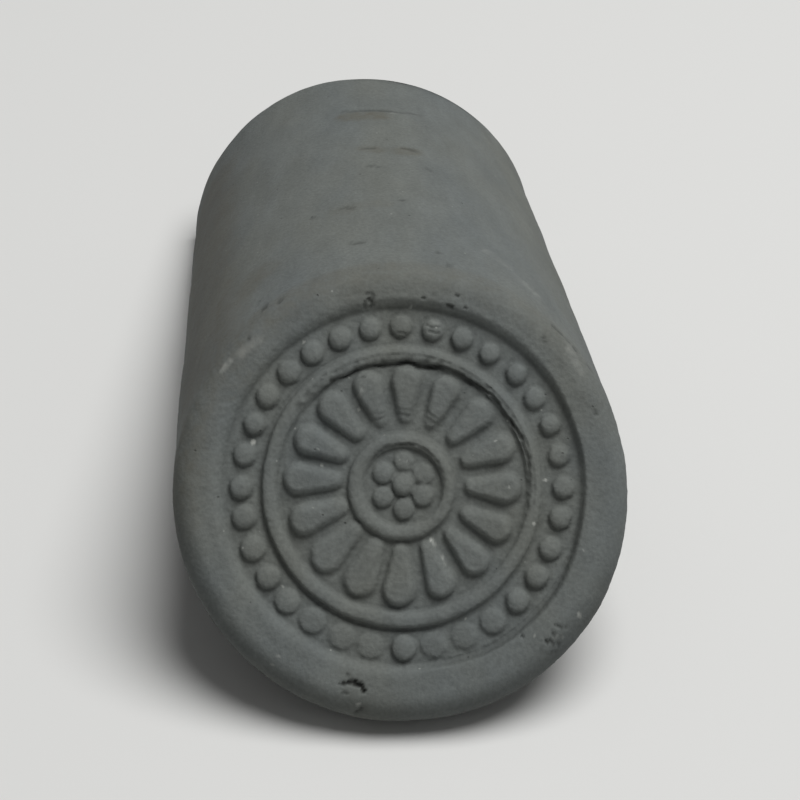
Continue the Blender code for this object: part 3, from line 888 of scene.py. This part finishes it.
def reduction_fired_clay(clay, form):
    """Grey earthenware, pressed, wiped and smoke-fired: dry, matte, patchy in tone, with open pores."""
    material = bpy.data.materials.new("reduction_fired_clay")
    material.use_nodes = True
    tree = material.node_tree
    tree.nodes.clear()
    place = add_node(tree, "ShaderNodeTexCoord", {}).outputs["Object"]
    marks = add_node(tree, "ShaderNodeAttribute", {}, attribute_name=MARKS_LAYER)
    parts = add_node(tree, "ShaderNodeSeparateColor", {0: marks.outputs["Color"]}).outputs

    # Smoke patches 30 to 40 mm across and clouding 7 mm across, drawn out along the barrel, and sandy grain
    along = add_node(tree, "ShaderNodeMapping", {"Vector": place, "Scale": (1.0, 0.3, 1.0)}).outputs[0]
    # A wet hand left streaks about 1.5 mm apart that run parallel to the disc
    turned = add_node(tree, "ShaderNodeMapping", {"Vector": place, "Rotation": (disc_tilt(form), 0.0, 0.0)})
    stretch = (1.0 / 0.014, 1.0 / 0.0013, 1.0 / 0.014)
    drawn = add_node(tree, "ShaderNodeMapping", {"Vector": turned.outputs[0], "Scale": stretch}).outputs[0]
    patches, clouds, grain, streaks = [
        add_node(tree, "ShaderNodeTexNoise", {"Vector": at, "Scale": 1.0 / size, "Detail": detail})
        for at, size, detail in (
            (along, 34.0 * MM, 3.0), (along, 7.0 * MM, 4.0), (place, 1.1 * MM, 3.0), (drawn, 1.0, 2.0))
    ]
    tones = []
    for pattern, low, high in ((clouds, 0.92, 1.08), (grain, 0.90, 1.10)):
        spread = {0: pattern.outputs[0], 1: 0.3, 2: 0.7, 3: low, 4: high}
        tones.append(add_node(tree, "ShaderNodeMapRange", spread).outputs[0])
    tone = add_node(tree, "ShaderNodeMath", {0: tones[0], 1: tones[1]}, operation="MULTIPLY").outputs[0]

    # Fine lime dust and open pores: specks under a millimetre across in a few of the 5 and 4 mm cells
    spots = []
    for cell, channel, reach, core in ((5.0 * MM, 0, 0.085, 0.045), (4.2 * MM, 1, 0.10, 0.05)):
        cells = add_node(tree, "ShaderNodeTexVoronoi", {"Vector": place, "Scale": 1.0 / cell})
        chosen = add_node(tree, "ShaderNodeSeparateColor", {0: cells.outputs["Color"]}).outputs[channel]
        chosen = add_node(tree, "ShaderNodeMath", {0: chosen, 1: 0.88}, operation="GREATER_THAN")
        spot = add_node(tree, "ShaderNodeMapRange", {0: cells.outputs["Distance"], 1: reach, 2: core})
        both = {0: spot.outputs[0], 1: chosen.outputs[0]}
        spots.append(add_node(tree, "ShaderNodeMath", both, operation="MULTIPLY").outputs[0])
    speck, pore = spots
    # Creases get painted shade, with some residue, from the crease channel in the pit colour
    speck_share, pore_share, crease_shade_share = [
        add_node(tree, "ShaderNodeMath", {0: mark, 1: strength}, operation="MULTIPLY").outputs[0]
        for mark, strength in ((speck, 0.35), (pore, 0.35), (marks.outputs["Alpha"], 0.15))
    ]
    soot_and_shade_share, lime_share = [
        add_node(tree, "ShaderNodeMath", {0: first, 1: second}, operation="MAXIMUM").outputs[0]
        for first, second in ((parts[0], crease_shade_share), (speck_share, parts[1]))
    ]

    # The smoke tints the body. Earth and lime lie where the wear was put. The pit colour lies on soot in
    # pits and on painted shade in creases, tears, cut lines and low on the tile, and the pores are dark
    blue_share, olive_share = [
        add_node(tree, "ShaderNodeMapRange", {0: patches.outputs[0], 1: start, 2: end}).outputs[0]
        for start, end in ((0.48, 0.66), (0.50, 0.34))
    ]
    # A colour mix takes its share at socket 0 and its two colours at 6 and 7
    colour = linear(clay.body)
    for share, tint in ((blue_share, clay.blue), (olive_share, clay.olive)):
        layer = {0: share, 6: colour, 7: linear(tint)}
        colour = add_node(tree, "ShaderNodeMix", layer, data_type="RGBA").outputs[2]
    toned = {0: colour, "Scale": tone}
    colour = add_node(tree, "ShaderNodeVectorMath", toned, operation="SCALE").outputs[0]
    for share, tint in (
        (parts[2], clay.earth),
        (soot_and_shade_share, clay.soot_and_shade),
        (lime_share, clay.lime),
        (pore_share, clay.soot_and_shade),
    ):
        layer = {0: share, 6: colour, 7: linear(tint)}
        colour = add_node(tree, "ShaderNodeMix", layer, data_type="RGBA").outputs[2]

    # The streaks, the grain and the pores stand in relief
    sunk = add_node(tree, "ShaderNodeMath", {0: 1.0, 1: pore}, operation="SUBTRACT")
    bump = {}
    for pattern, depth, strength in ((streaks, 0.18, 0.04), (grain, 0.22, 0.9), (sunk, 0.4, 0.7)):
        surface = {"Height": pattern.outputs[0], "Distance": depth * MM, "Strength": strength, **bump}
        bump = {"Normal": add_node(tree, "ShaderNodeBump", surface).outputs[0]}
    shader = add_node(tree, "ShaderNodeBsdfPrincipled", {
        "Base Color": colour,
        "Roughness": clay.roughness,
        "IOR": 1.50,
        "Specular IOR Level": 0.35,
        **bump,
    })
    add_node(tree, "ShaderNodeOutputMaterial", {"Surface": shader.outputs[0]})
    return material


def disc_tilt(form):
    """Turn about X that lays the disc's face square to Y."""
    turn, _ = form.resting_pose()
    face = turn @ form.out
    return math.atan2(face[2], -face[1])


class EAVE_TILE_OT_press_tile(bpy.types.Operator):
    """Models the clay tile in place of its plain solid"""

    bl_idname = "eave_tile.press_tile"
    bl_label = "Press the tile"

    def execute(self, context):
        scene = context.scene
        form = TileForm(scene.eave_tile_form)
        bm = tile_net(form, scene.eave_tile_relief)
        round_arrises(bm, scene.eave_tile_form.arris)
        mesh = bpy.data.meshes.new("clay_eave_tile")
        bm.to_mesh(mesh)
        bm.free()
        points = press_wear_and_shade(mesh, form, scene.eave_tile_relief)
        lay_down(mesh, form, points)
        mesh.shade_smooth()
        mesh.materials.append(reduction_fired_clay(scene.eave_tile_clay, form))
        piece = bpy.data.objects.new("clay_eave_tile", mesh)
        scene.collection.objects.link(piece)
        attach(piece, "root")
        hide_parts(TILE_NODE)
        return {"FINISHED"}


def plain_material(name, colour, roughness):
    """A plain matte material for the floor."""
    material = bpy.data.materials.new(name)
    material.use_nodes = True
    shader = material.node_tree.nodes["Principled BSDF"]
    shader.inputs["Base Color"].default_value = linear(colour)
    shader.inputs["Roughness"].default_value = roughness
    return material


def hang_key_light(scene, stage, target):
    """One large round light over the tile, for soft shadows."""
    light = bpy.data.lights.new("key", "AREA")
    light.shape = "DISK"
    light.size = stage.key_width
    light.energy = stage.key_power
    lamp = bpy.data.objects.new("key", light)
    lamp.location = stage.key_place
    lamp.rotation_euler = (target - Vector(stage.key_place)).to_track_quat("-Z", "Y").to_euler()
    scene.collection.objects.link(lamp)


class EAVE_TILE_OT_set_stage(bpy.types.Operator):
    """Lays the pale floor and sets the light, the sky and the camera"""

    bl_idname = "eave_tile.set_stage"
    bl_label = "Set the stage"

    def execute(self, context):
        scene = context.scene
        stage = scene.eave_tile_stage

        bm = bmesh.new()
        bmesh.ops.create_grid(bm, x_segments=1, y_segments=1, size=stage.floor_size / 2.0)
        mesh = bpy.data.meshes.new("floor")
        bm.to_mesh(mesh)
        bm.free()
        mesh.materials.append(plain_material("pale_floor", stage.floor, 0.9))
        floor = bpy.data.objects.new("floor", mesh)
        scene.collection.objects.link(floor)

        low, high = Vector(CAD_BOX[0]), Vector(CAD_BOX[1])
        hang_key_light(scene, stage, (low + high) / 2.0)

        world = bpy.data.worlds.new("soft_sky")
        world.use_nodes = True
        sky = world.node_tree.nodes["Background"]
        sky.inputs["Color"].default_value = (1.0, 1.0, 1.0, 1.0)
        sky.inputs["Strength"].default_value = stage.sky_strength
        scene.world = world
        scene.view_settings.view_transform = "Standard"

        lens = bpy.data.cameras.new("camera")
        lens.sensor_width = 36.0
        lens.lens = stage.lens
        lens.clip_start = 0.01
        camera = bpy.data.objects.new("camera", lens)
        camera.location = stage.eye
        look = (Vector(stage.aim) - Vector(stage.eye)).to_track_quat("-Z", "Y")
        camera.rotation_euler = (look @ Quaternion((0.0, 0.0, 1.0), stage.roll)).to_euler()
        scene.collection.objects.link(camera)
        scene.camera = camera
        return {"FINISHED"}


class EAVE_TILE_PT_panel(bpy.types.Panel):
    """Lists the tile's sizes, colours and steps"""

    bl_label = "Eave Tile"
    bl_idname = "EAVE_TILE_PT_panel"
    bl_space_type = "VIEW_3D"
    bl_region_type = "UI"
    bl_category = "Eave Tile"

    def draw(self, context):
        for group in (context.scene.eave_tile_form, context.scene.eave_tile_relief,
                      context.scene.eave_tile_clay, context.scene.eave_tile_stage):
            box = self.layout.box()
            for name in group.__annotations__:
                box.prop(group, name)
        self.layout.operator(EAVE_TILE_OT_press_tile.bl_idname)
        self.layout.operator(EAVE_TILE_OT_set_stage.bl_idname)


GROUPS = {
    "eave_tile_form": EaveTileForm,
    "eave_tile_relief": EaveTileRelief,
    "eave_tile_clay": EaveTileClay,
    "eave_tile_stage": EaveTileStage,
}
CLASSES = tuple(GROUPS.values()) + (EAVE_TILE_OT_press_tile, EAVE_TILE_OT_set_stage, EAVE_TILE_PT_panel)


def register():
    """Registers the classes and gives each scene the tile's properties."""
    for item in CLASSES:
        bpy.utils.register_class(item)
    for name, group in GROUPS.items():
        setattr(bpy.types.Scene, name, PointerProperty(type=group))


def unregister():
    """Takes back all that register adds."""
    for name in GROUPS:
        delattr(bpy.types.Scene, name)
    for item in reversed(CLASSES):
        bpy.utils.unregister_class(item)


def main():
    """Makes the tile and its stage."""
    register()
    bpy.ops.eave_tile.press_tile()
    bpy.ops.eave_tile.set_stage()


if __name__ == "__main__":
    main()
